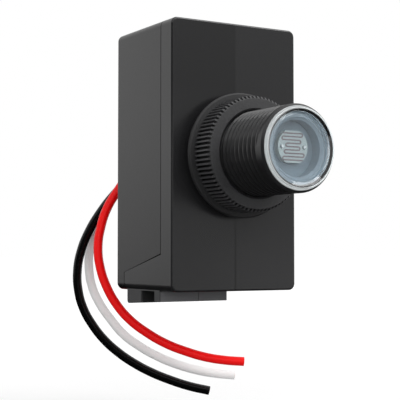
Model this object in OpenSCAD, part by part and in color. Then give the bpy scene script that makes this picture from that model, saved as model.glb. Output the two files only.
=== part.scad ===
// Photocell switch: a two-shell plastic box with a threaded sensor stem, a lock nut and three lead wires.
// The origin is the centre of the front face, on the stem's axis. The stem points along -Y and +Z is up.

/* [Housing] */
// Width of the box
housing_w = 29.7; // [28:0.1:36]
// Height of the box
housing_h = 54.5; // [52:0.5:70]
// Depth of the box behind its front face
housing_d = 23.8; // [22.5:0.1:30]
// Thickness of every wall of the two shells
wall = 1.8; // [1.2:0.1:2.2]
// Radius of the box's corners, seen from the front
corner_r = 1.4; // [1.4:0.1:3]
// Radius along the edges of the front face
edge_r = 0.4; // [0.3:0.1:1.3]
// Radius along the edges of the rear face
rear_edge_r = 0.6; // [0.4:0.1:1.3]

/* [Parting line] */
// Depth of the parting line behind the front face, above the step
parting_y = 4.3; // [3.2:0.1:6]
// Depth of the rear cover's strip below the step
parting_strip_d = 3.7; // [2.4:0.1:5]
// Height of the step above the box's lower edge, at its front end
step_front_h = 7.4; // [6:0.1:10]
// Height of the step above the box's lower edge, at its rear end
step_rear_h = 3.7; // [2.5:0.1:5]
// Open line between the two shells
parting_gap = 0.2; // [0.06:0.02:0.3]
// Open line at the rear end of the step, where the shells nearly meet
step_rear_gap = 0.05; // [0.03:0.01:0.2]
// How far the rear cover's lip reaches into the front housing
lip_l = 1.6; // [0.8:0.1:2]
// Thickness of the lip
lip_t = 0.9; // [0.6:0.1:1.2]
// Clearance between the lip and the front housing's walls
lip_fit = 0.1; // [0.05:0.01:0.2]

/* [Bottom lug] */
// Width of the lug under the box
lug_w = 15.9; // [10:0.1:20]
// Depth of the lug
lug_d = 14; // [11:0.1:16]
// Distance of the lug from the left side of the box
lug_inset = 0.6; // [0.4:0.1:3]
// Distance of the lug from the parting line behind it
lug_setback = 0.2; // [0.1:0.1:2]
// Height of the lug at its front
lug_front_h = 2.1; // [1.5:0.1:4]
// Height of the lug at its rear
lug_rear_h = 2.8; // [1.5:0.1:4]
// Radius along the lug's lower rear edge
lug_edge_r = 0.7; // [0.2:0.1:1]
// Distance of the channel in the lug's left end from the lug's front
channel_y = 2.1; // [1.5:0.1:4]
// Width of the channel
channel_w = 5.7; // [3:0.1:6]
// Depth of the channel
channel_d = 4.5; // [1:0.1:5]
// Distance of the mould line on the lug's front from its left end
mould_line_x = 9; // [3:0.1:9.6]
// Width and depth of the mould line
mould_line_w = 0.2; // [0.1:0.05:0.4]

/* [Stem] */
// Diameter over the thread's crests
stem_d = 16.8; // [16:0.1:18.5]
// Length of the stem in front of the box
stem_l = 22; // [20:0.1:30]
// Diameter of the bore through the stem
bore_d = 12.4; // [11.8:0.1:12.6]
// Plain length between the front face and the first thread
thread_start = 0.8; // [0.6:0.1:3]
// Plain collar between the last thread and the lens
collar_l = 0.7; // [0.7:0.1:4]
// Chamfer around the stem's end
stem_chamfer = 0.4; // [0.2:0.05:0.45]
// Thread pitch
thread_pitch = 1.411; // [1.2:0.001:1.6]
// Depth of the thread
thread_depth = 0.62; // [0.4:0.01:0.7]
// Diameter of the seat for the lens in the stem's end
seat_d = 14.2; // [13.6:0.1:14.6]
// Depth of that seat
seat_depth = 1.6; // [1.2:0.1:2]
// Radial clearance of the pieces in the seat and the bore
seat_fit = 0.06; // [0.03:0.01:0.15]

/* [Lens] */
// Diameter of the lens's rim
lens_d = 15.3; // [15:0.1:16.6]
// Diameter of the lens's foot on the stem
lens_foot_d = 15.9; // [15.6:0.1:16]
// Height of the foot
lens_foot_h = 0.25; // [0.2:0.05:0.6]
// Height of the whole lens in front of the stem
lens_h = 0.75; // [0.7:0.05:1.6]
// Depth of the groove between the foot and the rim
lens_groove = 0.15; // [0.1:0.05:0.3]
// Diameter inside the raised rim, at its top
lens_rim_in_d = 14.6; // [13.8:0.1:15]
// Diameter of the flat window
window_d = 12.7; // [12:0.1:13.9]
// Height of the window's front over the stem's end
window_h = 0.35; // [0.2:0.05:0.6]
// Thickness of the window
window_t = 0.8; // [0.6:0.05:1.3]
// Diameter inside the lens's skirt
skirt_in_d = 12.2; // [11:0.1:13]
// Length of the skirt in the seat
skirt_l = 0.6; // [0.5:0.05:1]

/* [Photocell] */
// Diameter of the cell
cell_d = 6.8; // [5:0.1:8]
// Height of the cell across its two flats
cell_h = 6; // [5.8:0.1:6.6]
// Height of the cell's middle over the stem's axis
cell_lift = 0.4; // [0:0.1:0.6]
// Thickness of the cell
cell_t = 1.2; // [0.8:0.1:1.6]
// Distance between the cell's leads
lead_pitch = 5.1; // [4.6:0.1:5.4]
// Diameter of a lead
lead_d = 0.6; // [0.4:0.05:0.7]
// Diameter of the solder dot on a lead's end
solder_dot_d = 0.9; // [0.7:0.05:1]
// Distance between the runs of the sensing track
track_pitch = 0.63; // [0.5:0.01:0.68]
// Width of the track
track_w = 0.25; // [0.12:0.01:0.26]
// Thickness of the track
track_t = 0.06; // [0.03:0.01:0.12]
// Inner diameter of the cup that holds the cell
cup_in_d = 10.8; // [10:0.1:11]
// Chamfer around the cup's mouth
cup_chamfer = 0.5; // [0.2:0.1:0.6]
// Depth of the cup
cup_depth = 2.9; // [2:0.1:4]
// Thickness of the cup's floor
cup_floor_t = 1.2; // [0.8:0.1:2]

/* [Lock nut and washer] */
// Diameter over the knurl
nut_d = 22.9; // [21.5:0.1:28]
// Thickness of the nut
nut_t = 5.1; // [3.5:0.1:6]
// Number of knurl teeth
knurl_teeth = 80; // [40:1:100]
// Depth of the knurl
knurl_depth = 0.5; // [0.2:0.05:0.7]
// Chamfer around the nut's front
nut_chamfer = 0.55; // [0.2:0.05:0.8]
// Countersink in the nut's front, over the bore's radius
nut_countersink = 0.5; // [0.3:0.05:1]
// Diameter of the sealing washer
washer_d = 25.2; // [24:0.1:29]
// Thickness of the washer
washer_t = 1.1; // [1:0.1:2.5]
// Chamfer around the washer's rim
washer_chamfer = 0.3; // [0.1:0.05:0.4]
// Room for a panel between the front face and the washer
panel_gap = 2.1; // [1:0.1:5]
// Radial clearance of the nut and the washer on the thread
thread_fit = 0.1; // [0.05:0.01:0.2]

/* [Circuit board] */
// Thickness of the board
board_t = 1.6; // [1:0.1:2]
// Clearance between the board and the rear cover's lip
board_fit = 0.35; // [0.2:0.05:0.6]
// Clearance between the board's ends and the lip
board_end_fit = 0.95; // [0.5:0.05:2]
// Length of the posts that carry the board
post_l = 4.1; // [3.2:0.1:5]
// Diameter of a post
post_d = 4; // [3:0.1:4]
// Diameter of the peg on a post
peg_d = 2; // [1.6:0.1:2.4]
// How far the leads stand out of the board's back
lead_out = 1.2; // [0.8:0.1:1.6]
// Distance of the posts from the board's sides and ends
post_inset = 2.1; // [2:0.05:2.5]
// Diameter of a component's lead
pin_d = 0.8; // [0.6:0.05:0.9]
// Radial clearance of leads and pegs in the board's holes
hole_fit = 0.1; // [0.05:0.01:0.15]
// Diameter of a solder joint's foot
solder_d = 1.5; // [1.3:0.1:1.6]
// Height of a solder joint
solder_h = 0.8; // [0.5:0.1:1]

/* [Components] */
// Width, height and depth of the relay
relay = [15.5, 17, 11.5]; // [4:0.1:20]
// Distance of the relay from the board's upper end
relay_inset = 1; // [0.5:0.1:2]
// Width, height and depth of the film capacitor
film_cap = [13, 7, 11]; // [4:0.1:20]
// Distance of the film capacitor from the board's lower end
film_cap_inset = 1; // [0.5:0.1:2]
// Edge radius of the moulded cases
case_r = 0.5; // [0.2:0.1:0.8]
// Diameter of the electrolytic capacitor
can_d = 8; // [5:0.1:8.5]
// Height of the electrolytic capacitor
can_h = 11.5; // [7:0.1:12]
// Diameter of the varistor's disc
varistor_d = 7.2; // [5:0.1:7.6]
// Thickness of the varistor
varistor_t = 3.4; // [2.5:0.1:4]
// Width, height and depth of the bridge rectifier
bridge = [8.3, 6.4, 3.3]; // [2:0.1:10]
// Diameter of the transistor's case
transistor_d = 4.6; // [4:0.1:4.8]
// Height of the transistor's case
transistor_h = 4.6; // [3.5:0.1:5]
// Distance of the transistor's flat side from the middle of its case
transistor_flat = 1.4; // [1:0.1:1.8]
// Length of a resistor's body
resistor_l = 5.5; // [4:0.1:5.8]
// Diameter of a resistor's body
resistor_d = 2.2; // [1.6:0.1:2.4]
// Length of a diode's body
diode_l = 4.2; // [3:0.1:5]
// Diameter of a diode's body
diode_d = 2; // [1.6:0.1:2.4]
// Height of the components' cases over the board where they stand off
stand_off = 0.5; // [0.2:0.1:1]
// Distance of the components from the board's sides
side_inset = 1.1; // [0.8:0.1:1.4]
// Gap between the rows of components
row_gap = 1.4; // [0.6:0.1:1.8]

/* [Wires] */
// Diameter of a wire
wire_d = 2; // [1.6:0.1:2.4]
// Distance between the wires in the grommet
wire_pitch = 3.5; // [3:0.1:4.5]
// Thickness of the grommet's flange on the rear face
grommet_flange_t = 1; // [0.6:0.1:1.5]
// Thickness of the grommet's flange inside the rear wall
grommet_inner_t = 0.8; // [0.5:0.1:1]
// Rubber around each wire in the grommet's neck
grommet_rubber = 1.1; // [0.7:0.1:1.4]
// How far the grommet's flanges overlap the rear wall
grommet_overlap = 0.7; // [0.4:0.1:1]
// Clearance around the grommet's neck and the wires in it
grommet_fit = 0.05; // [0.02:0.01:0.1]

/* [Hidden] */
$fn = 48;

// Room by which a cutting shape runs past the surface that it opens
past = 1;

// Shells
half_w = housing_w / 2;
half_h = housing_h / 2;
parting_low_y = housing_d - parting_strip_d;
step_front_z = step_front_h - half_h;
step_rear_z = step_rear_h - half_h;
step_slope = (step_rear_z - step_front_z) / (parting_low_y - parting_y);
lip_in = lip_fit + lip_t;

// Lug under the box
lug_x = lug_inset - half_w;
lug_rear_y = parting_low_y - lug_setback;
lug_front_y = lug_rear_y - lug_d;

// Stem, with heights measured in front of the front face
stem_r = stem_d / 2;
seat_r = seat_d / 2;
seat_z = stem_l - seat_depth;
thread_steps = 24;
thread_turns = (stem_l - collar_l - thread_start) / thread_pitch - 1;
thread_fade = 0.25;
// Half widths of the groove at its root and at the crests, as shares of the pitch
root_share = 0.08;
crest_share = 0.39;
// How far the groove's cutter stands outside the crests
cutter_over = 0.12;

// Cup and cell
cup_top_z = stem_l - skirt_l - seat_fit;
cup_floor_z = cup_top_z - cup_depth;
cell_front_z = cup_floor_z + cell_t;
lead_x = lead_pitch / 2;

// Nut and washer
bore_r = stem_r + thread_fit;
nut_z = panel_gap + washer_t;

// Board, with its front face at board_y
board_w = housing_w - 2 * (wall + lip_in + board_fit);
board_h = housing_h - 2 * (wall + lip_in + board_end_fit);
board_y = housing_d - wall - post_l - board_t;
post_x = board_w / 2 - post_inset;
post_z = board_h / 2 - post_inset;

board_back_y = board_y + board_t;

// Grommet and wires: the wires leave the rear face in a row, red first
wire_z = 2.5;
wire_mid_x = -1.5;
wire_sides = 8;
red_x = wire_mid_x - wire_pitch;
white_x = wire_mid_x + wire_pitch;
neck_r = wire_d / 2 + grommet_rubber;
flange_r = neck_r + grommet_overlap;

// Clear space between the two resistors, and the straight lead at each end of an axial part
resistor_gap = 0.4;
axial_lead = 0.8;

// Places of the components on the board, in X and Z: rows from both ends, columns from both sides
side_x = board_w / 2 - side_inset;
relay_at = [0, board_h / 2 - relay_inset - relay[1] / 2];
relay_low_z = relay_at[1] - relay[1] / 2;
film_cap_at = [0, film_cap_inset + film_cap[1] / 2 - board_h / 2];
film_cap_top_z = film_cap_at[1] + film_cap[1] / 2;
can_at = [can_d / 2 - side_x, film_cap_top_z + row_gap + can_d / 2];
can_top_z = can_at[1] + can_d / 2;
varistor_at = [side_x - varistor_d / 2, film_cap_top_z + row_gap + varistor_t / 2];
bridge_at = [side_x - bridge[0] / 2, varistor_at[1] + varistor_t / 2 + row_gap + bridge[1] / 2];
transistor_at = [side_x - transistor_d / 2, relay_low_z - row_gap - transistor_d / 2];
resistor_pitch = resistor_d + resistor_gap;
resistor_at = [(resistor_pitch + resistor_d) / 2 - side_x, (can_top_z + relay_low_z) / 2];
zener_at = [(can_d - max(varistor_d, bridge[0])) / 2, can_at[1]];
flyback_at = [-(board_w / 2 + relay[0] / 2) / 2, relay_at[1]];

// Leads of each component, from its own centre
relay_pins = [[-6, 6], [6, 6], [-6, -5], [6, -5], [0, -6.5]];
film_cap_pins = [[-5, 0], [5, 0]];
can_pins = [[-1.75, 0], [1.75, 0]];
varistor_pins = [[-2.5, 0], [2.5, 0]];
bridge_pin = 2.55;
bridge_pins = [for (x = [-1, 1], z = [-1, 1]) bridge_pin * [x, z]];
transistor_pins = [[-1.6, 0], [0, 0], [1.6, 0]];
resistor_reach = resistor_l / 2 + axial_lead;
diode_reach = diode_l / 2 + axial_lead;
resistor_pins = [for (x = [-1, 1], z = [-1, 1]) [resistor_pitch / 2 * x, resistor_reach * z]];
diode_pins = [[0, -diode_reach], [0, diode_reach]];

// Every lead that goes through the board
function moved(points, by) = [for (p = points) p + by];
board_pins = concat(
    moved(relay_pins, relay_at), moved(film_cap_pins, film_cap_at), moved(can_pins, can_at),
    moved(varistor_pins, varistor_at), moved(bridge_pins, bridge_at),
    moved(transistor_pins, transistor_at), moved(resistor_pins, resistor_at),
    moved(diode_pins, zener_at), moved(diode_pins, flyback_at));
cell_pins = [[-lead_x, cell_lift], [lead_x, cell_lift]];

// Normal of the upright plane in which the wires hang
wire_plane = [1, 1.7, 0];
// Route of each wire, from the point where it leaves the grommet
red_route = [
    [0, 0, 0], [-0.5, 3, -0.5], [-3, 5.5, -4], [-5.7, 6.8, -8.2], [-7.7, 7.9, -12],
    [-8.9, 8.7, -16.3], [-9.4, 9.1, -20.8], [-8.8, 9.1, -25.4], [-7.4, 8.6, -29.7],
    [-5.4, 7.6, -33.6], [-2.7, 6.3, -37], [0.6, 4.6, -39.8], [4.3, 2.6, -42.2],
    [8.1, 0.5, -43.9], [12, -1.7, -45.2], [15.8, -3.9, -45.9], [19.4, -5.9, -46.2]
];
white_route = [
    [0, 0, 0], [-0.5, 4, -0.3], [-2.6, 7.6, -1.9], [-5.6, 10.6, -4.2], [-8.7, 13, -7.2],
    [-11.4, 15, -11.4], [-13.3, 16.5, -16], [-14.4, 17.5, -20.8], [-14.4, 18, -25.4],
    [-13.6, 18, -29.7], [-12, 17.3, -33.6], [-9.8, 16.1, -37.2], [-7.2, 14.6, -40.7],
    [-3.9, 12.8, -43.5], [-0.3, 10.8, -45.8], [3.5, 8.6, -47.6], [7.4, 6.4, -48.9],
    [11.3, 4.2, -49.7], [15, 2, -50.1]
];
black_route = [
    [0, 0, 0], [-0.5, 3.5, -0.4], [-2.7, 6.6, -2.7], [-5.5, 9, -5.7], [-8.4, 11, -9.3],
    [-10.8, 12.8, -13.2], [-12.8, 14.2, -17.3], [-14.2, 15.2, -21.6], [-14.8, 15.8, -26.1],
    [-14.5, 15.9, -30.5], [-13.4, 15.5, -34.6], [-11.5, 14.7, -38.3], [-9.2, 13.5, -41.6],
    [-6.4, 11.9, -44.5], [-3.2, 10.1, -47], [0.3, 8.2, -49.1], [4, 6.2, -50.8],
    [7.8, 4.1, -52.2], [11.7, 2, -53.2]
];

// Colours
black_plastic = "#3a3a3c";
black_rubber = "#47484a";
clear_plastic = [0.86, 0.9, 0.92, 0.45];
grey_cup = "#76848d";
ceramic = "#c3cdc8";
track_brown = "#8a6f78";
tin = "#c9ccce";
board_green = "#2f6b3f";
case_yellow = "#d8b23a";
case_black = "#26262a";
relay_blue = "#2f55a0";
varistor_blue = "#2e6f9e";
resistor_tan = "#cdb489";

// Rectangle with round corners, centred. The two lower corners may have a radius of their own
module round_rect(w, h, r, low_r) {
    low = is_undef(low_r) ? r : low_r;
    translate([r - w / 2, 0]) square([w - 2 * r, h / 2]);
    translate([low - w / 2, -h / 2]) square([w - 2 * low, h / 2]);
    translate([-w / 2, low - h / 2]) square([w, h - r - low]);
    for (x = [-1, 1]) {
        translate([x * (w / 2 - r), h / 2 - r]) circle(r);
        translate([x * (w / 2 - low), low - h / 2]) circle(low);
    }
}

// Slot outline with round ends
module stadium(length, r) {
    square([length, 2 * r], center = true);
    for (x = [-1, 1]) translate([x * length / 2, 0]) circle(r);
}

// Block with all its edges round: centred in X and Y, from z = 0 to z = d
module round_block(w, h, d, r) {
    translate([0, 0, d / 2]) intersection() {
        linear_extrude(d, center = true) round_rect(w, h, r);
        rotate([90, 0, 0]) linear_extrude(h, center = true) round_rect(w, d, r);
        rotate([90, 0, 90]) linear_extrude(w, center = true) round_rect(h, d, r);
    }
}

// Lays a shape along the stem: its z becomes the distance in front of the front face
module along_stem() {
    rotate([90, 0, 0]) children();
}

// Stands a shape on the board: its z becomes the height over the board's front face
module on_board(at = [0, 0]) {
    translate([at[0], board_y, at[1]]) rotate([90, 0, 0]) children();
}

// Puts a shape on the rear face: its z becomes the distance behind that face
module on_rear() {
    translate([wire_mid_x, housing_d, wire_z]) rotate([-90, 0, 0]) children();
}

// Solid swept through a list of rings with equal numbers of points
module sweep(rings) {
    n = len(rings[0]);
    last = len(rings) - 1;
    sides = [for (i = [0:last - 1], j = [0:n - 1])
        [i * n + j, i * n + (j + 1) % n, (i + 1) * n + (j + 1) % n, (i + 1) * n + j]];
    ends = [[for (j = [n - 1:-1:0]) j], [for (j = [0:n - 1]) last * n + j]];
    polyhedron([for (ring = rings) each ring], concat(sides, ends));
}

// Section through the box's depth, of the given width: its front edges are at the top
module depth_section(w) {
    round_rect(w, housing_d, edge_r, rear_edge_r);
}

// Outer block of the box: two crossed slabs, and a round post in each corner
module box_block() {
    translate([0, housing_d / 2, 0]) along_stem() {
        rotate([90, 0, 0]) linear_extrude(housing_h - 2 * corner_r, center = true) depth_section(housing_w);
        rotate([90, 0, 90]) linear_extrude(housing_w - 2 * corner_r, center = true) depth_section(housing_h);
        for (x = [-1, 1], z = [-1, 1])
            translate([x * (half_w - corner_r), z * (half_h - corner_r), 0]) rotate_extrude() intersection() {
                depth_section(2 * corner_r);
                translate([0, -housing_d / 2]) square([corner_r, housing_d]);
            }
    }
}

// Room inside the box, drawn in by the given distance on its four sides
module cavity(inset = 0) {
    size = [housing_w - 2 * (wall + inset), housing_d - 2 * wall, housing_h - 2 * (wall + inset)];
    translate([0, housing_d / 2, 0]) cube(size, center = true);
}

// Everything in front of the parting line, which is moved back and up by the given distance. The step may
// close towards its rear end, to the given gap
module front_side(shift, rear_gap) {
    rear_z = step_rear_z + (is_undef(rear_gap) ? shift : step_slope * shift + rear_gap);
    outline = [
        [-past, half_h + past], [parting_y + shift, half_h + past],
        [parting_y + shift, step_front_z + shift], [parting_low_y + shift, rear_z],
        [parting_low_y + shift, -half_h - past], [-past, -half_h - past]
    ];
    rotate([90, 0, 90]) linear_extrude(housing_w + 2 * past, center = true) polygon(outline);
}

// Lug under the box, with a channel in its left end and a mould line on its front
module bottom_lug() {
    low_front = -half_h - lug_front_h;
    low_rear = -half_h - lug_rear_h;
    corner = [lug_rear_y - lug_edge_r, low_rear + lug_edge_r];
    round_edge = [for (a = [-90:15:0]) corner + lug_edge_r * [cos(a), sin(a)]];
    top = wall / 2 - half_h;
    outline = concat([[lug_front_y, top], [lug_front_y, low_front]], round_edge, [[lug_rear_y, top]]);
    low = lug_rear_h + past;
    difference() {
        translate([lug_x, 0, 0]) rotate([90, 0, 90]) linear_extrude(lug_w) polygon(outline);
        translate([lug_x - past, lug_front_y + channel_y, -half_h - low])
            cube([channel_d + past, channel_w, low]);
        translate([lug_x + mould_line_x, lug_front_y - past, -half_h - low])
            cube([mould_line_w, past + mould_line_w, low]);
    }
}

// One ring of the thread groove's section, at a number of turns from its start
function groove_ring(turn) =
    let (
        fade = min(1, turn / thread_fade, (thread_turns - turn) / thread_fade),
        outer = stem_r + cutter_over,
        inner = stem_r - thread_depth * fade + cutter_over / 2 * (1 - fade),
        slope = (crest_share - root_share) * thread_pitch / thread_depth,
        half_in = root_share * thread_pitch + slope * (inner - stem_r + thread_depth),
        half_out = root_share * thread_pitch + slope * (cutter_over + thread_depth),
        height = thread_start + (turn + 0.5) * thread_pitch,
        section = [[inner, -half_in], [outer, -half_out], [outer, half_out], [inner, half_in]]
    )
    [for (q = section) [q[0] * cos(360 * turn), q[0] * sin(360 * turn), height + q[1]]];

// Right-hand helical groove that leaves the thread standing
module thread_groove() {
    count = floor(thread_turns * thread_steps);
    sweep([for (i = [0:count]) groove_ring(i / thread_steps)]);
}

// Front shell, stem and lug, moulded in one
module front_housing() {
    color(black_plastic) difference() {
        union() {
            intersection() {
                box_block();
                front_side(0);
            }
            along_stem() {
                translate([0, 0, -wall / 2]) cylinder(d = stem_d, h = stem_l + wall / 2 - stem_chamfer);
                translate([0, 0, stem_l - stem_chamfer])
                    cylinder(d1 = stem_d, d2 = stem_d - 2 * stem_chamfer, h = stem_chamfer);
            }
            bottom_lug();
        }
        cavity();
        along_stem() {
            translate([0, 0, -wall - past]) cylinder(d = bore_d, h = stem_l + wall + 2 * past);
            translate([0, 0, seat_z]) cylinder(d = seat_d, h = seat_depth + past);
            thread_groove();
        }
    }
}

// Lip that locates the rear cover inside the front housing
module cover_lip() {
    intersection() {
        difference() {
            cavity();
            cavity(lip_in);
        }
        difference() {
            front_side(lip_l);
            front_side(parting_gap);
        }
    }
    intersection() {
        difference() {
            cavity(lip_fit);
            cavity(lip_in);
        }
        difference() {
            front_side(parting_gap + lip_fit);
            front_side(-lip_l);
        }
    }
}

// Posts on the rear wall, with a peg on each that holds the board
module board_posts() {
    for (x = [-1, 1], z = [-1, 1]) on_board([x * post_x, z * post_z]) {
        translate([0, 0, -board_t - post_l - wall / 2]) cylinder(d = post_d, h = post_l + wall / 2);
        translate([0, 0, -board_t - wall]) cylinder(d = peg_d, h = board_t + wall);
    }
}

// Rear shell, with the lip, the posts and the opening for the grommet
module rear_cover() {
    color(black_plastic) difference() {
        union() {
            difference() {
                box_block();
                front_side(parting_gap, step_rear_gap);
                cavity();
            }
            cover_lip();
            board_posts();
        }
        on_rear() translate([0, 0, -wall - past])
            linear_extrude(wall + 2 * past) stadium(2 * wire_pitch, neck_r + grommet_fit);
    }
}

// Clear cap on the stem's end: a recessed window in a raised rim, with a skirt in the seat
module lens() {
    foot_r = lens_foot_d / 2;
    rim_z = lens_foot_h + lens_groove;
    crown = (lens_h - rim_z) / 2;
    rim_r = max(lens_d / 2, lens_rim_in_d / 2 + crown);
    waist_r = rim_r - lens_groove;
    skirt_r = seat_r - seat_fit;
    rounding = [for (a = [0:15:90]) [rim_r - crown + crown * cos(a), lens_h - crown + crown * sin(a)]];
    outline = concat(
        [[0, window_h - window_t], [skirt_in_d / 2, window_h - window_t], [skirt_in_d / 2, -skirt_l],
            [skirt_r, -skirt_l], [skirt_r, 0], [foot_r, 0], [foot_r, lens_foot_h],
            [waist_r, lens_foot_h], [waist_r, rim_z], [rim_r, rim_z]],
        rounding,
        [[lens_rim_in_d / 2, lens_h], [window_d / 2, window_h], [0, window_h]]);
    color(clear_plastic) along_stem() translate([0, 0, stem_l]) rotate_extrude() polygon(outline);
}

// Cup in the stem's end that carries the cell, held between the seat and the lens
module cell_holder() {
    flange_edge = seat_r - seat_fit;
    cup_r = bore_d / 2 - seat_fit;
    back = cup_floor_z - cup_floor_t;
    outline = [
        [0, back], [cup_r, back], [cup_r, seat_z], [flange_edge, seat_z], [flange_edge, cup_top_z],
        [cup_in_d / 2 + cup_chamfer, cup_top_z], [cup_in_d / 2, cup_top_z - cup_chamfer],
        [cup_in_d / 2, cup_floor_z], [0, cup_floor_z]
    ];
    color(grey_cup) along_stem() difference() {
        rotate_extrude() polygon(outline);
        for (p = cell_pins) translate([p[0], p[1], back - past])
            cylinder(d = lead_d + 2 * hole_fit, h = cup_floor_t + 2 * past);
    }
}

// Ceramic body of the light-sensitive cell: a disc with two flats
module photocell() {
    color(ceramic) along_stem() translate([0, 0, cup_floor_z]) linear_extrude(cell_t) difference() {
        translate([0, cell_lift]) intersection() {
            circle(d = cell_d);
            square([cell_d, cell_h], center = true);
        }
        for (p = cell_pins) translate(p) circle(d = lead_d + 2 * hole_fit);
    }
}

// Serpentine sensing track on the cell: straight runs joined by half rings
module cell_track() {
    // How far the half rings lie from the cell's middle, from the top run down
    right_turns = [1.9, 1.45, 1.25, 2.2];
    left_turns = [2.2, 1.3, 1.7, 2.05];
    runs = len(right_turns) + len(left_turns);
    function run_z(i) = (runs / 2 - i) * track_pitch;
    function right_end(i) = right_turns[min(floor(i / 2), len(right_turns) - 1)];
    function left_end(i) = left_turns[max(floor((i - 1) / 2), 0)];
    color(track_brown) along_stem() translate([0, cell_lift, cell_front_z]) linear_extrude(track_t) {
        for (i = [0:runs]) translate([-left_end(i), run_z(i) - track_w / 2])
            square([left_end(i) + right_end(i), track_w]);
        for (i = [0:runs - 1]) {
            side = i % 2 == 0 ? 1 : -1;
            reach = i % 2 == 0 ? right_end(i) : left_end(i);
            translate([side * reach, run_z(i + 0.5)]) intersection() {
                difference() {
                    circle(d = track_pitch + track_w);
                    circle(d = track_pitch - track_w);
                }
                translate([side * track_pitch, 0]) square(2 * track_pitch, center = true);
            }
        }
    }
}

// The cell's two leads, from their solder dots through the stem to the board
module cell_leads() {
    reach = board_back_y + lead_out;
    color(tin) along_stem() for (p = cell_pins) translate([p[0], p[1], -reach]) {
        cylinder(d = lead_d, h = reach + cell_front_z);
        translate([0, 0, reach + cell_front_z])
            cylinder(d1 = solder_dot_d, d2 = lead_d, h = lead_d / 2);
    }
}

// Lock nut with a straight knurl
module lock_nut() {
    outer = nut_d / 2;
    root = outer - knurl_depth;
    // Each tooth: where its gap ends, its crest starts and its crest ends, as shares of the spacing
    tooth = [[0, root], [0.4, root], [0.52, outer], [0.88, outer]];
    knurl = [for (i = [0:knurl_teeth - 1], q = tooth)
        let (a = 360 * (i + q[0]) / knurl_teeth) q[1] * [cos(a), sin(a)]];
    turned = [
        [bore_r, 0], [outer + past, 0], [outer + past, nut_t - nut_chamfer - past],
        [outer - nut_chamfer, nut_t], [bore_r + nut_countersink, nut_t],
        [bore_r, nut_t - nut_countersink]
    ];
    color(black_plastic) along_stem() translate([0, 0, nut_z]) intersection() {
        linear_extrude(nut_t) polygon(knurl);
        rotate_extrude() polygon(turned);
    }
}

// Rubber washer between the nut and the panel
module sealing_washer() {
    outer = washer_d / 2;
    outline = [
        [bore_r, 0], [outer - washer_chamfer, 0], [outer, washer_chamfer],
        [outer, washer_t - washer_chamfer], [outer - washer_chamfer, washer_t], [bore_r, washer_t]
    ];
    color(black_rubber) along_stem() translate([0, 0, panel_gap]) rotate_extrude() polygon(outline);
}

// Printed circuit board with a hole for each lead and peg
module circuit_board() {
    color(board_green) on_board() translate([0, 0, -board_t]) linear_extrude(board_t) difference() {
        square([board_w, board_h], center = true);
        for (p = board_pins) translate(p) circle(d = pin_d + 2 * hole_fit);
        for (p = cell_pins) translate(p) circle(d = lead_d + 2 * hole_fit);
        for (x = [-1, 1], z = [-1, 1]) translate([x * post_x, z * post_z])
            circle(d = peg_d + 2 * hole_fit);
    }
}

// Leads of a component, from the given height down through the board
module pins(points, from = 0) {
    reach = board_t + lead_out;
    for (p = points) translate([p[0], p[1], -reach]) cylinder(d = pin_d, h = reach + from);
}

// Sealed relay on its leads
module relay_block() {
    color(relay_blue) on_board(relay_at) {
        round_block(relay[0], relay[1], relay[2], case_r);
        pins(relay_pins, case_r);
    }
}

// Mains dropper capacitor
module film_capacitor() {
    color(case_yellow) on_board(film_cap_at) {
        round_block(film_cap[0], film_cap[1], film_cap[2], case_r);
        pins(film_cap_pins, case_r);
    }
}

// Smoothing capacitor: a sleeved can with a crimped waist
module electrolytic_capacitor() {
    can_r = can_d / 2;
    waist_z = 2;
    outline = [
        [0, 0], [can_r, 0], [can_r, waist_z - case_r], [can_r - case_r / 2, waist_z],
        [can_r, waist_z + case_r], [can_r, can_h - case_r], [can_r - case_r, can_h], [0, can_h]
    ];
    color(case_black) on_board(can_at) {
        rotate_extrude() polygon(outline);
        pins(can_pins, case_r);
    }
}

// Surge absorber: a coated disc standing on its leads
module varistor() {
    disc_z = varistor_d / 2 + stand_off;
    color(varistor_blue) on_board(varistor_at) {
        translate([0, 0, disc_z]) rotate([90, 0, 0]) cylinder(d = varistor_d, h = varistor_t, center = true);
        pins(varistor_pins, disc_z);
    }
}

// Bridge rectifier in a flat case
module bridge_rectifier() {
    color(case_black) on_board(bridge_at) {
        translate([0, 0, stand_off]) round_block(bridge[0], bridge[1], bridge[2], case_r);
        pins(bridge_pins, stand_off + case_r);
    }
}

// Transistor in a case with one flat side
module transistor() {
    color(case_black) on_board(transistor_at) {
        translate([0, 0, stand_off]) linear_extrude(transistor_h) difference() {
            circle(d = transistor_d);
            translate([-transistor_d, -transistor_flat - transistor_d])
                square([2 * transistor_d, transistor_d]);
        }
        pins(transistor_pins, stand_off + case_r);
    }
}

// Component lying along the board between two bent leads
module axial_part(length, d) {
    axis_z = d / 2 + stand_off;
    span = length + 2 * axial_lead;
    translate([0, 0, axis_z]) rotate([90, 0, 0]) {
        cylinder(d = d, h = length, center = true);
        cylinder(d = pin_d, h = span + pin_d, center = true);
    }
    pins([[0, -span / 2], [0, span / 2]], axis_z);
}

// Two axial resistors, side by side
module resistors() {
    color(resistor_tan) for (x = [-1, 1])
        on_board(resistor_at + [x * resistor_pitch / 2, 0]) axial_part(resistor_l, resistor_d);
}

// Zener diode beside the capacitor and the diode across the relay's coil
module diodes() {
    color(case_black) for (at = [zener_at, flyback_at])
        on_board(at) axial_part(diode_l, diode_d);
}

// Solder on the back of the board, around every lead
module solder_joints() {
    hole = pin_d + 2 * hole_fit;
    color(tin) on_board() for (p = concat(board_pins, cell_pins))
        translate([p[0], p[1], -board_t - solder_h]) difference() {
            cylinder(d1 = hole + hole_fit, d2 = solder_d, h = solder_h);
            translate([0, 0, -past]) cylinder(d = hole, h = solder_h + 2 * past);
        }
}

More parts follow.
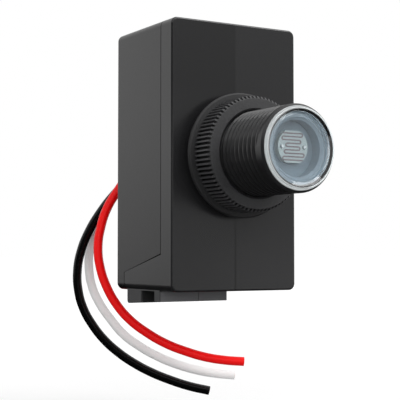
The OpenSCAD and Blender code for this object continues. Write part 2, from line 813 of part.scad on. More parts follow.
// Rubber grommet in the rear wall, with a hole for each wire
module wire_grommet() {
    row = 2 * wire_pitch;
    color(black_rubber) on_rear() difference() {
        union() {
            linear_extrude(grommet_flange_t) stadium(row, flange_r);
            translate([0, 0, -wall]) linear_extrude(wall) stadium(row, neck_r);
            translate([0, 0, -wall - grommet_inner_t]) linear_extrude(grommet_inner_t)
                stadium(row, flange_r);
        }
        for (x = [-1:1]) translate([x * wire_pitch, 0, -wall - grommet_inner_t - past])
            cylinder(d = wire_d + 2 * grommet_fit, h = wall + grommet_inner_t + grommet_flange_t + 2 * past);
    }
}

function unit(v) = v / norm(v);
// Direction of the route at each of its points
function heading(route, i) = unit(route[min(i + 1, len(route) - 1)] - route[max(i - 1, 0)]);
// Ring of points around the route, square to it
function wire_ring(route, i) =
    let (
        ahead = heading(route, i),
        across = unit(cross(ahead, wire_plane)),
        over = cross(across, ahead)
    )
    [for (k = [0:wire_sides - 1])
        let (a = 360 * (k + 0.5) / wire_sides) route[i] + wire_d / 2 * (cos(a) * across + sin(a) * over)];

// Insulated wire from the board's back, straight through the grommet and along its route
module wire(exit_x, points) {
    exit = [exit_x, housing_d + grommet_flange_t, wire_z];
    route = concat([[exit_x, board_back_y, wire_z]], moved(points, exit));
    sweep([for (i = [0:len(route) - 1]) wire_ring(route, i)]);
}

module red_wire() {
    color("#d80a0a") wire(red_x, red_route);
}

module white_wire() {
    color("#e6e6e6") wire(white_x, white_route);
}

module black_wire() {
    color("#161616") wire(wire_mid_x, black_route);
}

front_housing();
rear_cover();
lens();
cell_holder();
photocell();
cell_track();
cell_leads();
lock_nut();
sealing_washer();
circuit_board();
relay_block();
film_capacitor();
electrolytic_capacitor();
varistor();
bridge_rectifier();
transistor();
resistors();
diodes();
solder_joints();
wire_grommet();
red_wire();
white_wire();
black_wire();
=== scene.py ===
"""Looks of a photocell switch: black moulded shells, a threaded sensor stem and three lead wires."""

import math

import bmesh
import bpy
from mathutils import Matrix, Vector


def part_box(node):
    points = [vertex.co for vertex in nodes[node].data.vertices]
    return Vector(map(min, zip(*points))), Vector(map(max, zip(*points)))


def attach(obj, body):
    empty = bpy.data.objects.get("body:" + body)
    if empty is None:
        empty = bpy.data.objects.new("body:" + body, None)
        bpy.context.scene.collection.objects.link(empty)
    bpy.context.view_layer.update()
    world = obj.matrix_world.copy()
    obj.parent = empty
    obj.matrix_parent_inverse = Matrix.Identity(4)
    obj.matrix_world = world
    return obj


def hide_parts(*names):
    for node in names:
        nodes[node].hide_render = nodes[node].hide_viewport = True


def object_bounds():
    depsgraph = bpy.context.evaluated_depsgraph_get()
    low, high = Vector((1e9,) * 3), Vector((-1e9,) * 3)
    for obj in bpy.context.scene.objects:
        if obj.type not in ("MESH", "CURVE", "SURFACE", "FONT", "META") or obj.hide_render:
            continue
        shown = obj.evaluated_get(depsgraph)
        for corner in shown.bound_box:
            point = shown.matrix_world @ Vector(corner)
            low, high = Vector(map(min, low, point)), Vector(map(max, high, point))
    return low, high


MM = 0.001

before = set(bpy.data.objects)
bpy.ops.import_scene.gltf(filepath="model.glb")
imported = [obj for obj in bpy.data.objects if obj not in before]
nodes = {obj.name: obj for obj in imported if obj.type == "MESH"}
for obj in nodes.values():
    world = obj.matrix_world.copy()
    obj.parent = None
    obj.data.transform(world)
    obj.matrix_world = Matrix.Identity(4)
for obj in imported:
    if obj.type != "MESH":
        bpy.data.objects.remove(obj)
cad_low, cad_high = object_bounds()
scene = bpy.context.scene
scene.view_settings.view_transform = "Standard"


def linear(code):
    """Linear RGBA of an sRGB colour written as six hex digits."""
    channels = [int(code[i:i + 2], 16) / 255 for i in (0, 2, 4)]
    return [c / 12.92 if c <= 0.04045 else ((c + 0.055) / 1.055) ** 2.4 for c in channels] + [1.0]


def per(size_mm):
    """Texture scale at which a pattern repeats about once in the given millimetres."""
    return 1 / (size_mm * MM)


def add_node(tree, kind, inputs=None, **settings):
    """Adds a node with its settings, and gives its inputs their values or links."""
    made = tree.nodes.new(kind)
    for name, value in settings.items():
        setattr(made, name, value)
    for name, value in (inputs or {}).items():
        if isinstance(value, bpy.types.NodeSocket):
            tree.links.new(value, made.inputs[name])
        else:
            made.inputs[name].default_value = value
    return made


def blank_material(name):
    """A new material and its empty node tree."""
    material = bpy.data.materials.new(name)
    material.use_nodes = True
    material.node_tree.nodes.clear()
    return material, material.node_tree


def link(thing):
    """Puts a new object into the scene."""
    scene.collection.objects.link(thing)
    return thing


def mesh_object(name, shape):
    """Turns a finished bmesh into an object of the scene."""
    data = bpy.data.meshes.new(name)
    shape.to_mesh(data)
    shape.free()
    return link(bpy.data.objects.new(name, data))


# Camera, to the left of the box and a little below its middle, looking slightly up
CAMERA_AT = Vector((-121.2, -188.2, -19.2)) * MM
CAMERA_YAW = math.radians(30.95)
CAMERA_PITCH = math.radians(2.66)
FOCAL_LENGTH = 99.45
NEAREST_SEEN = 10 * MM
FARTHEST_SEEN = 20

camera_data = bpy.data.cameras.new("camera")
camera_data.lens = FOCAL_LENGTH
camera_data.clip_start = NEAREST_SEEN
camera_data.clip_end = FARTHEST_SEEN
camera = link(bpy.data.objects.new("camera", camera_data))
camera.location = CAMERA_AT
camera.rotation_euler = (math.pi / 2 + CAMERA_PITCH, 0, -CAMERA_YAW)
scene.camera = camera

# Lead wires: each leaves the grommet at its own place in the row and hangs along its route, in millimetres
WIRE_D = 2 * MM
WIRE_Z = 2.5 * MM
WIRE_CURVE_STEPS = 8
WIRE_ROUND_STEPS = 7
WIRES = {
    "red": {
        "x": -5,
        "length": 79.5,
        "route": [
            (0, 0, 0), (-0.5, 3, -0.5), (-3, 5.5, -4), (-5.7, 6.8, -8.2), (-7.7, 7.9, -12),
            (-8.9, 8.7, -16.3), (-9.4, 9.1, -20.8), (-8.8, 9.1, -25.4), (-7.4, 8.6, -29.7),
            (-5.4, 7.6, -33.6), (-2.7, 6.3, -37), (0.6, 4.6, -39.8), (4.3, 2.6, -42.2),
            (8.1, 0.5, -43.9), (12, -1.7, -45.2), (15.8, -3.9, -45.9), (19.4, -5.9, -46.2),
        ],
    },
    "white": {
        "x": 2,
        "length": 90.9,
        "route": [
            (0, 0, 0), (-0.5, 4, -0.3), (-2.6, 7.6, -1.9), (-5.6, 10.6, -4.2), (-8.7, 13, -7.2),
            (-11.4, 15, -11.4), (-13.3, 16.5, -16), (-14.4, 17.5, -20.8), (-14.4, 18, -25.4),
            (-13.6, 18, -29.7), (-12, 17.3, -33.6), (-9.8, 16.1, -37.2), (-7.2, 14.6, -40.7),
            (-3.9, 12.8, -43.5), (-0.3, 10.8, -45.8), (3.5, 8.6, -47.6), (7.4, 6.4, -48.9),
            (11.3, 4.2, -49.7), (15, 2, -50.1),
        ],
    },
    "black": {
        "x": -1.5,
        "length": 87.8,
        "route": [
            (0, 0, 0), (-0.5, 3.5, -0.4), (-2.7, 6.6, -2.7), (-5.5, 9, -5.7), (-8.4, 11, -9.3),
            (-10.8, 12.8, -13.2), (-12.8, 14.2, -17.3), (-14.2, 15.2, -21.6), (-14.8, 15.8, -26.1),
            (-14.5, 15.9, -30.5), (-13.4, 15.5, -34.6), (-11.5, 14.7, -38.3), (-9.2, 13.5, -41.6),
            (-6.4, 11.9, -44.5), (-3.2, 10.1, -47), (0.3, 8.2, -49.1), (4, 6.2, -50.8),
            (7.8, 4.1, -52.2), (11.7, 2, -53.2),
        ],
    },
}
# Copper strands, which stand a little out of each wire's cut end
STRAND_D = 0.42 * MM
STRAND_OUT = 0.06 * MM
STRAND_SIDES = 14
OUTER_STRANDS = 6

board_back_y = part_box("circuit_board")[1].y
grommet_back_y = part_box("wire_grommet")[1].y


def wire_curve(name, points):
    """Round insulated wire along one smooth curve through the points, as thick as its knots say."""
    data = bpy.data.curves.new(name, "CURVE")
    data.dimensions = "3D"
    data.resolution_u = WIRE_CURVE_STEPS
    data.bevel_depth = 1
    data.bevel_resolution = WIRE_ROUND_STEPS
    data.use_fill_caps = True
    spline = data.splines.new("BEZIER")
    spline.bezier_points.add(len(points) - 1)
    for knot, point in zip(spline.bezier_points, points):
        knot.co = point
        knot.radius = WIRE_D / 2
        knot.handle_left_type = "AUTO"
        knot.handle_right_type = "AUTO"
    return link(bpy.data.objects.new(name, data))


def wire_strands(name, end, ahead):
    """Cut copper strands in a wire's end: one in the middle and a ring around it."""
    shape = bmesh.new()
    turn = ahead.to_track_quat("Z", "Y")
    places = [Vector((0, 0, 0))]
    for i in range(OUTER_STRANDS):
        angle = math.tau * i / OUTER_STRANDS
        places.append(STRAND_D * Vector((math.cos(angle), math.sin(angle), 0)))
    for place in places:
        made = bmesh.ops.create_cone(shape, cap_ends=True, segments=STRAND_SIDES,
                                     radius1=STRAND_D / 2, radius2=STRAND_D / 2, depth=2 * STRAND_OUT)
        for vertex in made["verts"]:
            vertex.co = end + turn @ (vertex.co + place)
    return mesh_object(name, shape)


wires = {}
strands = {}
for colour, facts in WIRES.items():
    start = Vector((facts["x"] * MM, board_back_y, WIRE_Z))
    leaves = Vector((facts["x"] * MM, grommet_back_y, WIRE_Z))
    points = [start] + [leaves + Vector(p) * MM for p in facts["route"]]
    wire = wire_curve(f"{colour}_lead_wire", points)
    cut = wire_strands(f"{colour}_wire_strands", points[-1], (points[-1] - points[-2]).normalized())
    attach(wire, "housing")
    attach(cut, "housing")
    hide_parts(f"{colour}_wire")
    wires[colour] = wire
    strands[colour] = cut

# Lens, turned finely enough for clean reflections. Its section runs from the middle of its rear face to the
# middle of its window: each corner's radius, height over the stem's end and fillet, in millimetres
LENS_STEPS = 240
LENS_FILLET_STEPS = 6
LENS_TOP = 0.75
LENS_SECTION = [
    (0, -0.45, 0),
    (6.1, -0.45, 0),
    (6.1, -0.6, 0),
    (7.04, -0.6, 0),
    (7.04, 0, 0),
    (7.95, 0, 0.06),
    (7.95, 0.25, 0.1),
    (7.5, 0.25, 0.06),
    (7.5, 0.4, 0.06),
    (7.65, 0.4, 0.06),
    (7.65, LENS_TOP, 0.17),
    (7.3, LENS_TOP, 0.12),
    (6.35, 0.35, 0.15),
    (0, 0.35, 0),
]


def filleted(section):
    """The section's points, with each corner that has a fillet turned into a short curve."""
    points = []
    for i, (radius, height, fillet) in enumerate(section):
        corner = Vector((radius, height))
        if not fillet:
            points.append(corner)
            continue
        before = corner + fillet * (Vector(section[i - 1][:2]) - corner).normalized()
        after = corner + fillet * (Vector(section[i + 1][:2]) - corner).normalized()
        for step in range(LENS_FILLET_STEPS + 1):
            t = step / LENS_FILLET_STEPS
            points.append((1 - t) ** 2 * before + 2 * t * (1 - t) * corner + t ** 2 * after)
    return points


def turned_lens():
    """The clear cap on the stem's end, turned about the stem's axis."""
    stem_end_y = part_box("lens")[0].y + LENS_TOP * MM
    shape = bmesh.new()
    points = filleted(LENS_SECTION)
    rings = []
    for step in range(LENS_STEPS):
        angle = math.tau * step / LENS_STEPS
        ring = []
        for point in points[1:-1]:
            reach = point.x * MM
            place = (reach * math.cos(angle), stem_end_y - point.y * MM, reach * math.sin(angle))
            ring.append(shape.verts.new(place))
        rings.append(ring)
    rear = shape.verts.new((0, stem_end_y - points[0].y * MM, 0))
    front = shape.verts.new((0, stem_end_y - points[-1].y * MM, 0))
    for ring, following in zip(rings, rings[1:] + rings[:1]):
        shape.faces.new((rear, following[0], ring[0]))
        shape.faces.new((front, ring[-1], following[-1]))
        for i in range(len(ring) - 1):
            shape.faces.new((ring[i], following[i], following[i + 1], ring[i + 1]))
    bmesh.ops.recalc_face_normals(shape, faces=shape.faces)
    return mesh_object("turned_lens", shape)


lens = turned_lens()
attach(lens, "housing")
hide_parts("lens")

# Shading of the lens and the CAD nodes: vertices joined, only edges sharper than the limit kept sharp, and
# large faces leading over small ones
SHARP_EDGE = math.radians(26)
JOIN_DISTANCE = 0.002 * MM
LARGE_FACE_WEIGHT = 100


def smooth_by_angle():
    """Node group that shades a mesh smooth except along its sharp edges."""
    tree = bpy.data.node_groups.new("smooth_by_angle", "GeometryNodeTree")
    tree.interface.new_socket("Geometry", in_out="INPUT", socket_type="NodeSocketGeometry")
    tree.interface.new_socket("Geometry", in_out="OUTPUT", socket_type="NodeSocketGeometry")
    given = add_node(tree, "NodeGroupInput")
    plain = add_node(tree, "GeometryNodeRemoveAttribute",
                     {"Geometry": given.outputs[0], "Name": "custom_normal"})
    joined = add_node(tree, "GeometryNodeMergeByDistance",
                      {"Geometry": plain.outputs[0], "Distance": JOIN_DISTANCE})
    angle = add_node(tree, "GeometryNodeInputMeshEdgeAngle")
    soft = add_node(tree, "FunctionNodeCompare",
                    {"A": angle.outputs["Unsigned Angle"], "B": SHARP_EDGE}, operation="LESS_THAN")
    faces = add_node(tree, "GeometryNodeSetShadeSmooth",
                     {"Geometry": joined.outputs[0], "Shade Smooth": True}, domain="FACE")
    edges = add_node(tree, "GeometryNodeSetShadeSmooth",
                     {"Geometry": faces.outputs[0], "Shade Smooth": soft.outputs[0]}, domain="EDGE")
    add_node(tree, "NodeGroupOutput", {"Geometry": edges.outputs[0]})
    return tree


smoothing = smooth_by_angle()
for piece in [*nodes.values(), lens]:
    piece.modifiers.new("smooth", "NODES").node_group = smoothing
    weighted = piece.modifiers.new("weighted", "WEIGHTED_NORMAL")
    weighted.keep_sharp = True
    weighted.weight = LARGE_FACE_WEIGHT

# Front shell: the distances behind its face between which the gloss drops, the heights between which
# the upper left of the face is painted darker as painted shade for a dimmer reflection, half the width of
# the dark line painted down the face's middle, and how much of that line is left above
FACE_ENDS = 0.1 * MM
SIDE_STARTS = 0.8 * MM
FACE_ROUGH = 0.24
SIDE_ROUGH = 0.34
SHADE_BAND_LOW_Z = 4 * MM
SHADE_BAND_HIGH_Z = 14 * MM
MIDDLE_LINE_HALF = 0.34 * MM
MIDDLE_LINE_LEFT_ABOVE = 0.2
# Lug under the box: its top, its left end and how deep and pale that end is, and the channel in it;
# the left end and the channel are painted darker, as painted shade in the recess
LUG_TOP = -27.3 * MM
LUG_ROUGH = 0.6
LUG_LEFT = -14.25 * MM
LUG_END_SHADE_DEPTH = 0.5 * MM
LUG_END_SHADE_PALE = 0.3
CHANNEL_MIDDLE_Y = 10.85 * MM
CHANNEL_HALF_Y = 2.85 * MM
# Distance over which one finish of the shell turns into the next
BLEND = 0.1 * MM


def polished_abs():
    """Black ABS from a polished tool: a glossy face, with sides and a thread that are a little duller.

    A thin dark line is painted down the middle of the face, fading out above, and the upper left of the
    face is painted a shade darker, as painted shade for a dimmer reflection there. The lug below is
    spark-eroded, so it is matte and paler, apart from its channel and its left end, which are painted
    darker as painted shade in the recess.
    """
    material, tree = blank_material("polished_abs")
    place = add_node(tree, "ShaderNodeTexCoord").outputs["Object"]
    axes = add_node(tree, "ShaderNodeSeparateXYZ", {"Vector": place})
    across, depth, height = axes.outputs["X"], axes.outputs["Y"], axes.outputs["Z"]
    off_face = add_node(tree, "ShaderNodeMath", {0: depth}, operation="ABSOLUTE").outputs[0]
    gloss = add_node(tree, "ShaderNodeMapRange",
                     {"Value": off_face, "From Min": FACE_ENDS, "From Max": SIDE_STARTS,
                      "To Min": FACE_ROUGH, "To Max": SIDE_ROUGH}).outputs["Result"]
    rough = add_node(tree, "ShaderNodeMapRange",
                     {"Value": height, "From Min": LUG_TOP + BLEND, "From Max": LUG_TOP - BLEND,
                      "To Min": gloss, "To Max": LUG_ROUGH}).outputs["Result"]
    # Painted shade: the upper left of the face is darkened, standing in for a dimmer reflection there
    left = add_node(tree, "ShaderNodeMapRange",
                    {"Value": across, "From Min": BLEND, "From Max": -BLEND}).outputs["Result"]
    upper = add_node(tree, "ShaderNodeMapRange",
                     {"Value": height, "From Min": SHADE_BAND_LOW_Z, "From Max": SHADE_BAND_HIGH_Z}).outputs["Result"]
    painted_shade = add_node(tree, "ShaderNodeMath", {0: left, 1: upper}, operation="MULTIPLY").outputs[0]
    face = add_node(tree, "ShaderNodeMix", {"Factor": painted_shade, "A": linear("1c1c1d"), "B": linear("121213")},
                    data_type="RGBA").outputs["Result"]
    # A thin dark line painted down the middle of the face, fading out towards the top
    off_middle = add_node(tree, "ShaderNodeMath", {0: across}, operation="ABSOLUTE").outputs[0]
    near_middle = add_node(tree, "ShaderNodeMapRange",
                    {"Value": off_middle, "From Max": MIDDLE_LINE_HALF, "To Min": 1, "To Max": 0}).outputs["Result"]
    low = add_node(tree, "ShaderNodeMapRange",
                   {"Value": height, "From Min": SHADE_BAND_LOW_Z, "From Max": SHADE_BAND_HIGH_Z,
                    "To Min": 1, "To Max": MIDDLE_LINE_LEFT_ABOVE}).outputs["Result"]
    line = add_node(tree, "ShaderNodeMath", {0: near_middle, 1: low}, operation="MULTIPLY").outputs[0]
    lined = add_node(tree, "ShaderNodeMix", {"Factor": line, "A": face, "B": linear("000000")},
                     data_type="RGBA").outputs["Result"]
    # Painted shade: the lug's channel keeps the shell's dark tone, and its left end is only a little pale
    behind = add_node(tree, "ShaderNodeMath", {0: depth, 1: CHANNEL_MIDDLE_Y}, operation="SUBTRACT")
    off_channel = add_node(tree, "ShaderNodeMath", {0: behind.outputs[0]}, operation="ABSOLUTE").outputs[0]
    outside_channel_shade = add_node(tree, "ShaderNodeMapRange",
                      {"Value": off_channel, "From Min": CHANNEL_HALF_Y + BLEND,
                       "From Max": CHANNEL_HALF_Y + 2 * BLEND}).outputs["Result"]
    pale = add_node(tree, "ShaderNodeMapRange",
                    {"Value": across, "From Min": LUG_LEFT, "From Max": LUG_LEFT + LUG_END_SHADE_DEPTH,
                     "To Min": LUG_END_SHADE_PALE, "To Max": outside_channel_shade}).outputs["Result"]
    lug = add_node(tree, "ShaderNodeMapRange",
                   {"Value": height, "From Min": LUG_TOP + BLEND, "From Max": LUG_TOP - BLEND,
                    "To Min": 0, "To Max": pale}).outputs["Result"]
    tone = add_node(tree, "ShaderNodeMix", {"Factor": lug, "A": lined, "B": linear("565658")},
                    data_type="RGBA").outputs["Result"]
    shader = add_node(tree, "ShaderNodeBsdfPrincipled", {"Base Color": tone, "Roughness": rough, "IOR": 1.5})
    add_node(tree, "ShaderNodeOutputMaterial", {"Surface": shader.outputs[0]})
    return material


# Grain of the moulded pieces, drawn coarser than the real one so that it shows
GRAIN_DETAIL = 4
GRAIN_DEPTH = 0.1 * MM
GRAIN_ROUGH = 0.06


def grained_plastic(name, dark, light, rough, grain_mm, bump, ior=1.5):
    """Moulded plastic or rubber with a fine grain: two close tones and a bump of the same grain."""
    material, tree = blank_material(name)
    place = add_node(tree, "ShaderNodeTexCoord").outputs["Object"]
    grain = add_node(tree, "ShaderNodeTexNoise",
                     {"Vector": place, "Scale": per(grain_mm), "Detail": GRAIN_DETAIL}).outputs["Fac"]
    tone = add_node(tree, "ShaderNodeMix", {"Factor": grain, "A": linear(dark), "B": linear(light)},
                    data_type="RGBA")
    uneven = add_node(tree, "ShaderNodeMapRange",
                      {"Value": grain, "To Min": rough - GRAIN_ROUGH, "To Max": rough + GRAIN_ROUGH})
    relief = add_node(tree, "ShaderNodeBump", {"Height": grain, "Strength": bump, "Distance": GRAIN_DEPTH})
    shader = add_node(tree, "ShaderNodeBsdfPrincipled",
                      {"Base Color": tone.outputs["Result"], "Roughness": uneven.outputs["Result"],
                       "Normal": relief.outputs["Normal"], "IOR": ior})
    add_node(tree, "ShaderNodeOutputMaterial", {"Surface": shader.outputs[0]})
    return material


# Knurl of the nut: radii of its gaps and tips, and the place where it ends at the nut's front; its gaps
# are painted near black, as painted shade in the knurl
KNURL_GAP_R = 10.95 * MM
KNURL_TIP_R = 11.4 * MM
KNURL_FRONT_Y = -7.75 * MM
KNURL_FADE = 0.2 * MM
NUT_FRONT_PALE = 0.6
NUT_GRAIN_MM = 0.3


def nylon_with_painted_knurl_shade():
    """Matte black nylon with a fine grain; the knurl's gaps are painted near black as painted shade."""
    material, tree = blank_material("nylon_with_painted_knurl_shade")
    place = add_node(tree, "ShaderNodeTexCoord").outputs["Object"]
    depth = add_node(tree, "ShaderNodeSeparateXYZ", {"Vector": place}).outputs["Y"]
    flat = add_node(tree, "ShaderNodeVectorMath", {0: place, 1: (1, 0, 1)}, operation="MULTIPLY").outputs[0]
    radius = add_node(tree, "ShaderNodeVectorMath", {0: flat}, operation="LENGTH").outputs["Value"]
    tip = add_node(tree, "ShaderNodeMapRange",
                   {"Value": radius, "From Min": KNURL_GAP_R, "From Max": KNURL_TIP_R}).outputs["Result"]
    front = add_node(tree, "ShaderNodeMapRange",
                     {"Value": depth, "From Min": KNURL_FRONT_Y, "From Max": KNURL_FRONT_Y - KNURL_FADE,
                      "To Min": 0, "To Max": NUT_FRONT_PALE}).outputs["Result"]
    # Painted shade: only the knurl's tips and the nut's front keep the nylon's tone, and the gaps go near
    # black
    unshaded = add_node(tree, "ShaderNodeMath", {0: tip, 1: front}, operation="MAXIMUM").outputs[0]
    grain = add_node(tree, "ShaderNodeTexNoise",
                     {"Vector": place, "Scale": per(NUT_GRAIN_MM), "Detail": GRAIN_DETAIL}).outputs["Fac"]
    pale = add_node(tree, "ShaderNodeMix", {"Factor": grain, "A": linear("262627"), "B": linear("464648")},
                    data_type="RGBA").outputs["Result"]
    tone = add_node(tree, "ShaderNodeMix", {"Factor": unshaded, "A": linear("020202"), "B": pale},
                    data_type="RGBA").outputs["Result"]
    rough = add_node(tree, "ShaderNodeMapRange", {"Value": unshaded, "To Min": 0.8, "To Max": 0.45})
    relief = add_node(tree, "ShaderNodeBump", {"Height": grain, "Strength": 0.35, "Distance": GRAIN_DEPTH})
    shader = add_node(tree, "ShaderNodeBsdfPrincipled",
                      {"Base Color": tone, "Roughness": rough.outputs["Result"],
                       "Normal": relief.outputs["Normal"], "IOR": 1.53})
    add_node(tree, "ShaderNodeOutputMaterial", {"Surface": shader.outputs[0]})
    return material


# Radii between which the lens's rim turns partly opaque and whitish, a painted highlight for light caught in
# the rim
RIM_HIGHLIGHT_FROM = 7.25 * MM
RIM_HIGHLIGHT_TO = 7.5 * MM


def clear_polycarbonate():
    """Clear polycarbonate, polished: it bends what is behind it, and its rim is a painted highlight, partly
    opaque and whitish.
    """
    material, tree = blank_material("clear_polycarbonate")
    place = add_node(tree, "ShaderNodeTexCoord").outputs["Object"]
    flat = add_node(tree, "ShaderNodeVectorMath", {0: place, 1: (1, 0, 1)}, operation="MULTIPLY").outputs[0]
    radius = add_node(tree, "ShaderNodeVectorMath", {0: flat}, operation="LENGTH").outputs["Value"]
    # Painted highlight: towards its rim the lens gets less clear, whiter and rougher
    rim_highlight = add_node(tree, "ShaderNodeMapRange",
                    {"Value": radius, "From Min": RIM_HIGHLIGHT_FROM, "From Max": RIM_HIGHLIGHT_TO}).outputs["Result"]
    tone = add_node(tree, "ShaderNodeMix", {"Factor": rim_highlight, "A": linear("f4f9fb"), "B": linear("e8edee")},
                    data_type="RGBA").outputs["Result"]
    rough = add_node(tree, "ShaderNodeMapRange",
                     {"Value": rim_highlight, "To Min": 0.03, "To Max": 0.12}).outputs["Result"]
    clear = add_node(tree, "ShaderNodeMapRange",
                     {"Value": rim_highlight, "To Min": 1, "To Max": 0.55}).outputs["Result"]
    shader = add_node(tree, "ShaderNodeBsdfPrincipled",
                      {"Base Color": tone, "Roughness": rough, "IOR": 1.58, "Transmission Weight": clear})
    through = add_node(tree, "ShaderNodeBsdfTransparent")
    path = add_node(tree, "ShaderNodeLightPath")
    mixed = add_node(tree, "ShaderNodeMixShader",
                     {0: path.outputs["Is Shadow Ray"], 1: shader.outputs[0], 2: through.outputs[0]})
    add_node(tree, "ShaderNodeOutputMaterial", {"Surface": mixed.outputs[0]})
    return material


# Patches of the metals' uneven polish: their size in millimetres, and how much duller they are
PATCH_MM = 0.3
PATCH_DETAIL = 3
PATCH_ROUGH = 0.2


def bare_metal(name, colour, rough):
    """Drawn, cut or soldered metal with a slightly uneven polish."""
    material, tree = blank_material(name)
    place = add_node(tree, "ShaderNodeTexCoord").outputs["Object"]
    patches = add_node(tree, "ShaderNodeTexNoise",
                       {"Vector": place, "Scale": per(PATCH_MM), "Detail": PATCH_DETAIL}).outputs["Fac"]
    uneven = add_node(tree, "ShaderNodeMapRange",
                      {"Value": patches, "To Min": rough, "To Max": rough + PATCH_ROUGH})
    shader = add_node(tree, "ShaderNodeBsdfPrincipled",
                      {"Base Color": linear(colour), "Metallic": 1.0, "Roughness": uneven.outputs["Result"]})
    add_node(tree, "ShaderNodeOutputMaterial", {"Surface": shader.outputs[0]})
    return material


# Moulded epoxy of the small components: dull and nearly black
black_epoxy = grained_plastic("black_epoxy", "1c1c1e", "26262a", rough=0.5, grain_mm=0.3, bump=0.1)
FINISHES = {
    "front_housing": polished_abs(),
    # ABS from a blasted tool: an even satin black
    "rear_cover": grained_plastic("satin_abs", "0e0e0f", "131314", rough=0.36, grain_mm=0.35, bump=0.05),
    # Moulded polypropylene: blue-grey, with a soft waxy sheen
    "cell_holder": grained_plastic("grey_polypropylene", "5f6d77", "697781",
                                   rough=0.45, grain_mm=0.6, bump=0.05),
    # Fired ceramic under a clear coat: pale grey, smooth and a little glossy
    "photocell": grained_plastic("coated_ceramic", "848e8f", "909a9b", rough=0.3, grain_mm=0.25, bump=0.08),
    # Printed cadmium sulphide film: a dull red-brown line
    "cell_track": grained_plastic("sulphide_film", "54464c", "605258", rough=0.4, grain_mm=0.15, bump=0.05),
    # Drawn copper, tinned: a bright silver
    "cell_leads": bare_metal("tinned_copper", "d9dcde", rough=0.2),
    "lock_nut": nylon_with_painted_knurl_shade(),
    # Cut neoprene rubber: dull black with a dusty grain
    "sealing_washer": grained_plastic("neoprene", "131314", "272728", rough=0.6, grain_mm=0.3, bump=0.3),
    # Glass-epoxy under solder mask: a glossy dark green
    "circuit_board": grained_plastic("solder_mask", "20572f", "2b6a3c", rough=0.35, grain_mm=0.8, bump=0.05),
    # Moulded PBT: an even mid blue
    "relay_block": grained_plastic("blue_pbt", "24509a", "2c5aa8", rough=0.4, grain_mm=0.4, bump=0.05),
    # Polyester film box: a glossy ochre yellow
    "film_capacitor": grained_plastic("yellow_polyester", "d2a92f", "dcb53e",
                                      rough=0.3, grain_mm=0.5, bump=0.03),
    # Shrunk PVC sleeve: a smooth glossy black
    "electrolytic_capacitor": grained_plastic("black_pvc_sleeve", "1b1b1d", "222226",
                                              rough=0.25, grain_mm=0.5, bump=0.02),
    # Dipped epoxy: a bright blue with a slightly wavy skin
    "varistor": grained_plastic("blue_epoxy", "27699b", "3176a8", rough=0.35, grain_mm=0.5, bump=0.08),
    "bridge_rectifier": black_epoxy,
    "transistor": black_epoxy,
    # Sprayed lacquer: a plain tan
    "resistors": grained_plastic("tan_lacquer", "c5aa7d", "d2ba90", rough=0.4, grain_mm=0.4, bump=0.05),
    "diodes": black_epoxy,
    # Set solder: a softly shining grey
    "solder_joints": bare_metal("solder", "c9ccce", rough=0.25),
    # Moulded rubber: dull and dark
    "wire_grommet": grained_plastic("grommet_rubber", "1a1a1b", "232324", rough=0.6, grain_mm=0.3, bump=0.2),
}
for name, finish in FINISHES.items():
    nodes[name].data.materials.clear()
    nodes[name].data.materials.append(finish)
lens.data.materials.append(clear_polycarbonate())

# Extruded PVC: clean even colours, with a faint gloss that a low IOR gives
EXTRUDED = {"grain_mm": 1.2, "bump": 0.02, "ior": 1.35}
INSULATION = {
    "red": grained_plastic("red_pvc", "e40305", "ec0506", rough=0.4, **EXTRUDED),
    "white": grained_plastic("white_pvc", "eeeeee", "f3f3f3", rough=0.4, **EXTRUDED),
    "black": grained_plastic("black_pvc", "050505", "080808", rough=0.25, **EXTRUDED),
}
# Freshly cut copper: a warm, slightly rough shine
bare_copper = bare_metal("cut_copper", "c98a62", rough=0.3)
for colour, finish in INSULATION.items():
    wires[colour].data.materials.append(finish)
    strands[colour].data.materials.append(bare_copper)

# Floor, a little below the lowest wire
FLOOR_DROP = 4 * MM
FLOOR_WIDTH = 12
# Light of its own that the floor shows near the object and far from it, the distances between which it
# changes, and the grey it is painted, which takes the shadows
NEAR_GLOW = 0.48
FAR_GLOW = 0.7
NEAR_REACH = 0.1
FAR_REACH = 0.5
FLOOR_PAINT = "b4b4b4"


def background_rays(tree):
    """1 for the rays that see the white background: the camera's, and those off gloss and through glass."""
    path = add_node(tree, "ShaderNodeLightPath").outputs
    shiny = add_node(tree, "ShaderNodeMath",
                     {0: path["Is Glossy Ray"], 1: path["Is Transmission Ray"]}, operation="MAXIMUM")
    return add_node(tree, "ShaderNodeMath",
                    {0: path["Is Camera Ray"], 1: shiny.outputs[0]}, operation="MAXIMUM").outputs[0]


def pale_floor():
    """White painted floor: its own light makes it white to the eye, and shadows still darken it."""
    material, tree = blank_material("pale_floor")
    paint = add_node(tree, "ShaderNodeBsdfDiffuse", {"Color": linear(FLOOR_PAINT)})
    place = add_node(tree, "ShaderNodeTexCoord").outputs["Object"]
    distance = add_node(tree, "ShaderNodeVectorMath", {0: place}, operation="LENGTH").outputs["Value"]
    level = add_node(tree, "ShaderNodeMapRange",
                     {"Value": distance, "From Min": NEAR_REACH, "From Max": FAR_REACH,
                      "To Min": NEAR_GLOW, "To Max": FAR_GLOW}).outputs["Result"]
    glow = add_node(tree, "ShaderNodeMath", {0: background_rays(tree), 1: level}, operation="MULTIPLY")
    light = add_node(tree, "ShaderNodeEmission", {"Strength": glow.outputs[0]})
    both = add_node(tree, "ShaderNodeAddShader", {0: paint.outputs[0], 1: light.outputs[0]})
    add_node(tree, "ShaderNodeOutputMaterial", {"Surface": both.outputs[0]})
    return material


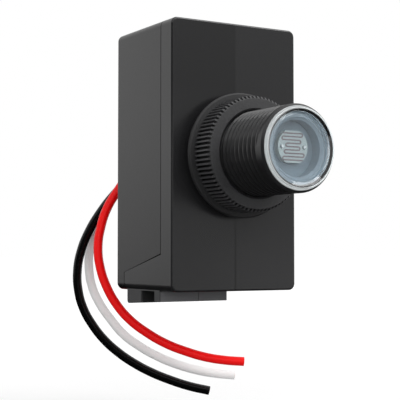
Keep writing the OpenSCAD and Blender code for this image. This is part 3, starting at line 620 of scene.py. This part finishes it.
def stage_plane(name, centre, normal, width, height, material):
    """A flat piece of the set, upright where its normal is level."""
    turn = Vector(normal).to_track_quat("Z", "Y")
    corners = [(-1, -1), (1, -1), (1, 1), (-1, 1)]
    points = [Vector(centre) + turn @ Vector((i * width / 2, j * height / 2, 0)) for i, j in corners]
    data = bpy.data.meshes.new(name)
    data.from_pydata(points, [], [(0, 1, 2, 3)])
    data.materials.append(material)
    plane = link(bpy.data.objects.new(name, data))
    return plane


floor_z = cad_low.z - FLOOR_DROP
stage_plane("floor", (0, 0, floor_z), (0, 0, 1), FLOOR_WIDTH, FLOOR_WIDTH, pale_floor())

# Upright cards round the set that only reflections see: name, bearing in degrees from straight behind with
# left negative, distance, width, lowest and highest edge in metres, and brightness
CARDS = [
    ("camera_card", -125, 0.6, 1.3, floor_z, 0.26, 0.0),
    ("front_card", 147, 0.8, 0.7, floor_z, 0.3, 0.5),
    ("back_card", -28, 0.5, 0.6, floor_z, 0.03, 0.75),
]
# A black card of the same kind that lies on the floor, before and below the object
FLOOR_CARD_AT = (-0.2, -0.05, floor_z + MM)
FLOOR_CARD_WIDTH = 0.7


def card_paint(name, level):
    """Plain grey of a reflection card."""
    material, tree = blank_material(name)
    grey = add_node(tree, "ShaderNodeEmission", {"Color": (level, level, level, 1), "Strength": 1})
    add_node(tree, "ShaderNodeOutputMaterial", {"Surface": grey.outputs[0]})
    return material


cards = [stage_plane("floor_card", FLOOR_CARD_AT, (0, 0, 1), FLOOR_CARD_WIDTH, FLOOR_CARD_WIDTH,
                     card_paint("floor_card", 0))]
for name, bearing, distance, width, bottom, top, level in CARDS:
    angle = math.radians(bearing)
    away = Vector((math.sin(angle), math.cos(angle), 0))
    centre = away * distance + Vector((0, 0, (bottom + top) / 2))
    cards.append(stage_plane(name, centre, -away, width, top - bottom, card_paint(name, level)))
for card in cards:
    card.visible_camera = False
    card.visible_diffuse = False
    card.visible_transmission = False
    card.visible_shadow = False

# Studio: a white backdrop for the eye, and a dimmer room that lights the object from all round
ROOM_LEVEL = 0.7
studio = bpy.data.worlds.new("studio")
scene.world = studio
studio.use_nodes = True
studio.node_tree.nodes.clear()
room = add_node(studio.node_tree, "ShaderNodeBackground",
                {"Color": (ROOM_LEVEL, ROOM_LEVEL, ROOM_LEVEL, 1), "Strength": 1})
white = add_node(studio.node_tree, "ShaderNodeBackground", {"Color": (1, 1, 1, 1), "Strength": 1})
backdrop = add_node(studio.node_tree, "ShaderNodeMixShader",
                    {0: background_rays(studio.node_tree), 1: room.outputs[0], 2: white.outputs[0]})
add_node(studio.node_tree, "ShaderNodeOutputWorld", {"Surface": backdrop.outputs[0]})

# Soft square lamps, aimed at the middle: name, place and size in metres, power in watts, and whether
# reflections show the lamp
LAMPS = [
    ("key_lamp", (0.33, -0.45, 0.66), 0.6, 5, True),
    ("fill_lamp", (-0.36, -0.58, 0.08), 0.8, 4.5, False),
]
for name, at, size, power, mirrored in LAMPS:
    data = bpy.data.lights.new(name, "AREA")
    data.shape = "SQUARE"
    data.size = size
    data.energy = power
    lamp = link(bpy.data.objects.new(name, data))
    lamp.location = at
    lamp.rotation_euler = (-Vector(at)).to_track_quat("-Z", "Y").to_euler()
    lamp.visible_glossy = mirrored
